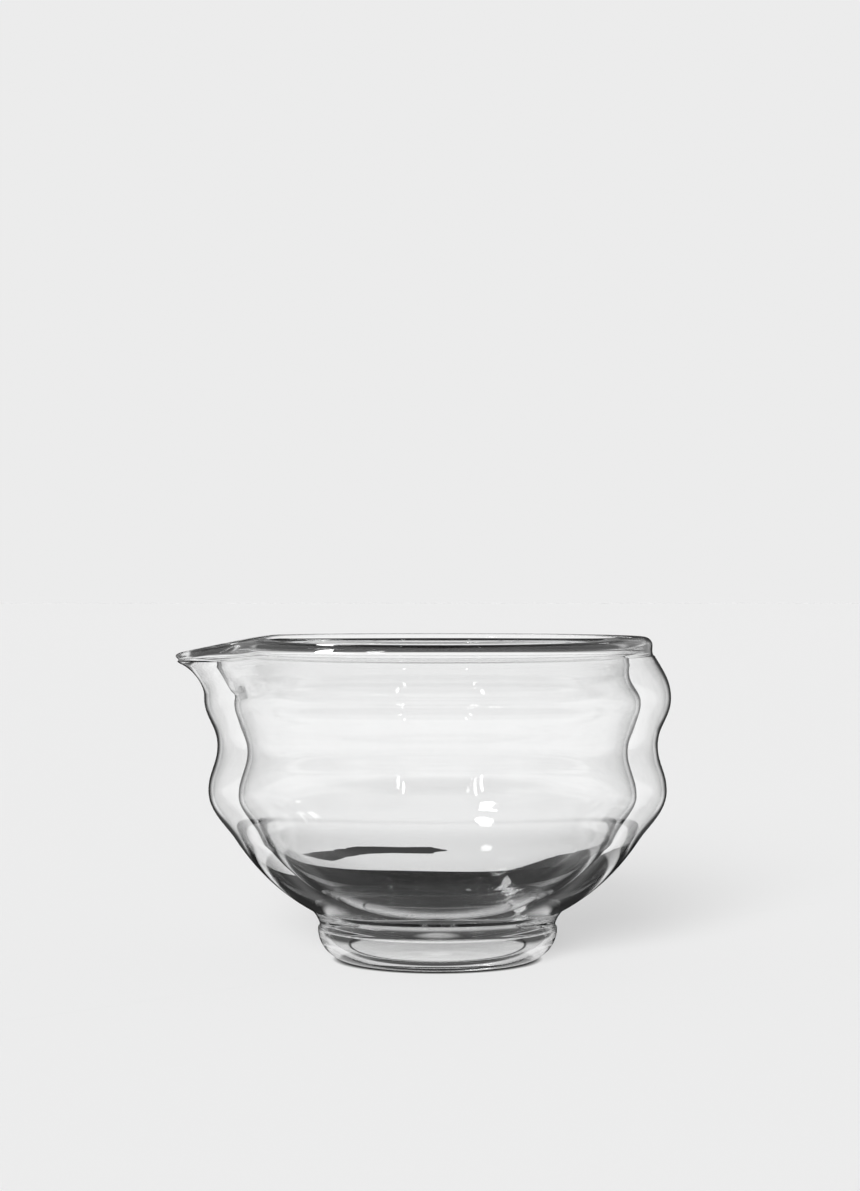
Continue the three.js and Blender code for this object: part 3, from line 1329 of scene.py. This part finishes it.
@dataclass(frozen=True)
class SoftBox:
    """A lamp that only the glass mirrors."""

    name: str
    place: tuple[float, float, float]
    width: float
    height: float
    level: float  # how bright its face is, with 1 as white
    roll: float = 0.0  # turn about its own axis
    aim_height: float = 45 * MM  # it faces the bowl's axis here

    def build(self) -> None:
        """Hangs the lamp, facing the bowl."""
        light = bpy.data.lights.new(self.name, "AREA")
        light.shape = "ELLIPSE"
        light.size = self.width
        light.size_y = self.height
        light.energy = self.level * math.pi * self.width * self.height
        lamp = new_object(self.name, light)
        lamp.location = self.place
        facing = (Vector(self.place) - Vector((0, 0, self.aim_height))).to_track_quat("Z", "Y")
        lamp.rotation_euler = (facing @ Quaternion((0, 0, 1), self.roll)).to_euler()
        keep_for_glass(lamp)


SOFT_BOXES = (
    SoftBox("strip_right", (0.46, -1.1, 0.72), 0.03, 0.22, 8.0),
    SoftBox("strip_left", (-0.42, -1.1, 0.8), 0.03, 0.22, 8.0),
    SoftBox("round_above", (-0.41, -0.23, 1.13), 0.13, 0.13, 8.0),
    SoftBox("box_behind", (-0.155, 0.78, 0.54), 0.03, 0.6, 2.5, -23 * DEG),
    SoftBox("window_right", (0.95, 0.46, 0.8), 0.2, 0.12, 2.5),
)


@dataclass
class Studio:
    """The pale table, the soft light and the camera."""

    paper: float = 0.838  # the pale grey of the background
    sky_light: float = 0.04
    key_light: float = 0.96  # share of the table's light that comes from the key lamp
    key_from: Vector = field(default_factory=lambda: Vector((-0.32, -1.5, 0.6)))
    key_angle: float = 24 * DEG
    table_size: float = 60.0
    table_clearance: float = 0.05 * MM  # so that what looks through the flat base meets the table
    contact_reach: float = 2 * MM  # how far the contact shadow round the foot reaches
    contact_open: float = 0.5  # share of open sky at which it ends
    camera_distance: float = 640.0 * MM
    camera_height: float = 93.56 * MM
    camera_aside: float = -1.94 * MM
    focal_pixels: float = 2480.0
    sensor: float = 36.0
    fence_radius: float = 88 * MM
    fence_height: float = 8 * MM
    fence_steps: int = 160
    fence_level: float = 0.01
    bounces: int = 40
    view: GlassView = field(default_factory=GlassView)

    def build(self) -> None:
        """Builds everything round the object."""
        self.camera()
        self.table()
        self.fence()
        self.world()
        self.key()
        for box in SOFT_BOXES:
            box.build()
        scene = bpy.context.scene
        scene.view_settings.view_transform = "Standard"
        scene.cycles.max_bounces = self.bounces
        scene.cycles.transmission_bounces = self.bounces
        scene.cycles.glossy_bounces = self.bounces
        scene.cycles.transparent_max_bounces = 2 * self.bounces
        scene.cycles.caustics_refractive = False
        scene.cycles.caustics_reflective = False

    def camera(self) -> None:
        """Sets the camera level, in front of the bowl, with the photograph's perspective."""
        data = bpy.data.cameras.new("photo_camera")
        data.sensor_width = self.sensor
        data.lens = self.focal_pixels / PHOTO_HEIGHT * self.sensor
        camera = new_object("photo_camera", data)
        camera.location = (self.camera_aside, -self.camera_distance, self.camera_height)
        camera.rotation_euler = (math.pi / 2, 0, 0)
        bpy.context.scene.camera = camera

    @staticmethod
    def matte(name: str, colour: object) -> Material:
        """Makes a dull material of one colour."""
        return new_material(name, {"Base Color": colour, "Roughness": 1, "Specular IOR Level": 0})

    def table(self) -> None:
        """Lays the pale table, with a painted contact shadow and painted shade that only the glass shows."""
        half = self.table_size / 2
        corners = [(-half, -half, 0), (half, -half, 0), (half, half, 0), (-half, half, 0)]
        mesh = bpy.data.meshes.new("table")
        mesh.from_pydata(corners, [], [(0, 1, 2, 3)])
        material = self.matte("pale_table", grey(self.paper))
        material.cycles.emission_sampling = "NONE"
        tree = material.node_tree
        # painted contact shadow: the table's colour darkens where the foot covers it
        covered = add(tree, "ShaderNodeAmbientOcclusion", {"Distance": self.contact_reach})
        open_share = Field(covered.outputs["AO"]).ramp(0.0, self.contact_open)
        feed(tree.nodes["Principled BSDF"], {"Base Color": open_share * self.paper})
        # rays from the glass see the table glow at a painted level, with painted shade, in place of its lit
        # colour
        glow = add(tree, "ShaderNodeEmission", {"Strength": self.view.table(tree)})
        path = add(tree, "ShaderNodeLightPath").outputs
        from_glass = Field(path["Is Transmission Ray"]).at_least(Field(path["Is Glossy Ray"]))
        show_instead(tree, from_glass, glow.outputs["Emission"])
        mesh.materials.append(material)
        table = new_object("table", mesh)
        table.location.z = -self.table_clearance

    def fence(self) -> None:
        """Stands a low black ring round the bowl, which only the glass shows, as a dark band."""
        count = 2 * self.fence_steps
        corners = []
        for i in range(self.fence_steps):
            turn = FULL_TURN * i / self.fence_steps
            place = Vector((math.sin(turn), math.cos(turn))) * self.fence_radius
            corners += [(*place, 0.0), (*place, self.fence_height)]
        faces = [(i, i + 1, (i + 3) % count, (i + 2) % count) for i in range(0, count, 2)]
        mesh = bpy.data.meshes.new("black_ring")
        mesh.from_pydata(corners, [], faces)
        mesh.materials.append(self.matte("black_ring", grey(self.fence_level)))
        fence = new_object("black_ring", mesh)
        keep_for_glass(fence)

    def world(self) -> None:
        """Makes the surroundings: pale to the camera, even for the table, and shaped for the glass."""
        world = bpy.data.worlds.new("studio")
        bpy.context.scene.world = world
        world.use_nodes = True
        tree = world.node_tree
        path = add(tree, "ShaderNodeLightPath").outputs
        seen = Field(path["Is Camera Ray"]).between(self.view.surroundings(tree), self.paper)
        level = Field(path["Is Diffuse Ray"]).between(seen, self.sky_light)
        feed(tree.nodes["Background"], {"Color": grey(1), "Strength": level})

    def key(self) -> None:
        """Hangs a broad key light up on the left, in front."""
        light = bpy.data.lights.new("key", "SUN")
        light.angle = self.key_angle
        slant = self.key_from.normalized()
        light.energy = self.key_light * math.pi / slant.z
        lamp = new_object("key", light)
        lamp.rotation_euler = slant.to_track_quat("Z", "Y").to_euler()
        lamp.visible_glossy = False
        lamp.visible_transmission = False


def main() -> None:
    """Builds the glass pieces and the studio."""
    logging.basicConfig(level=logging.INFO, format="%(name)s %(message)s")
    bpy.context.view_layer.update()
    blown = BlownSurface()
    form = (BowlForm(), SpoutForm(), TurningTree(FusedSeam().material()))
    parts = (*form, ClearGlass().material(blown))
    foot = HollowFoot(*parts)
    drop = VentDrop(*parts)
    foot.build()
    drop.build()
    OuterWall(*parts).build(foot.seat, drop.head_radius)
    DrinkingBowl(*form, BowlGlass().material(blown)).build()
    FusedLip(*parts).build()
    Studio().build()


if __name__ == "__main__":
    main()
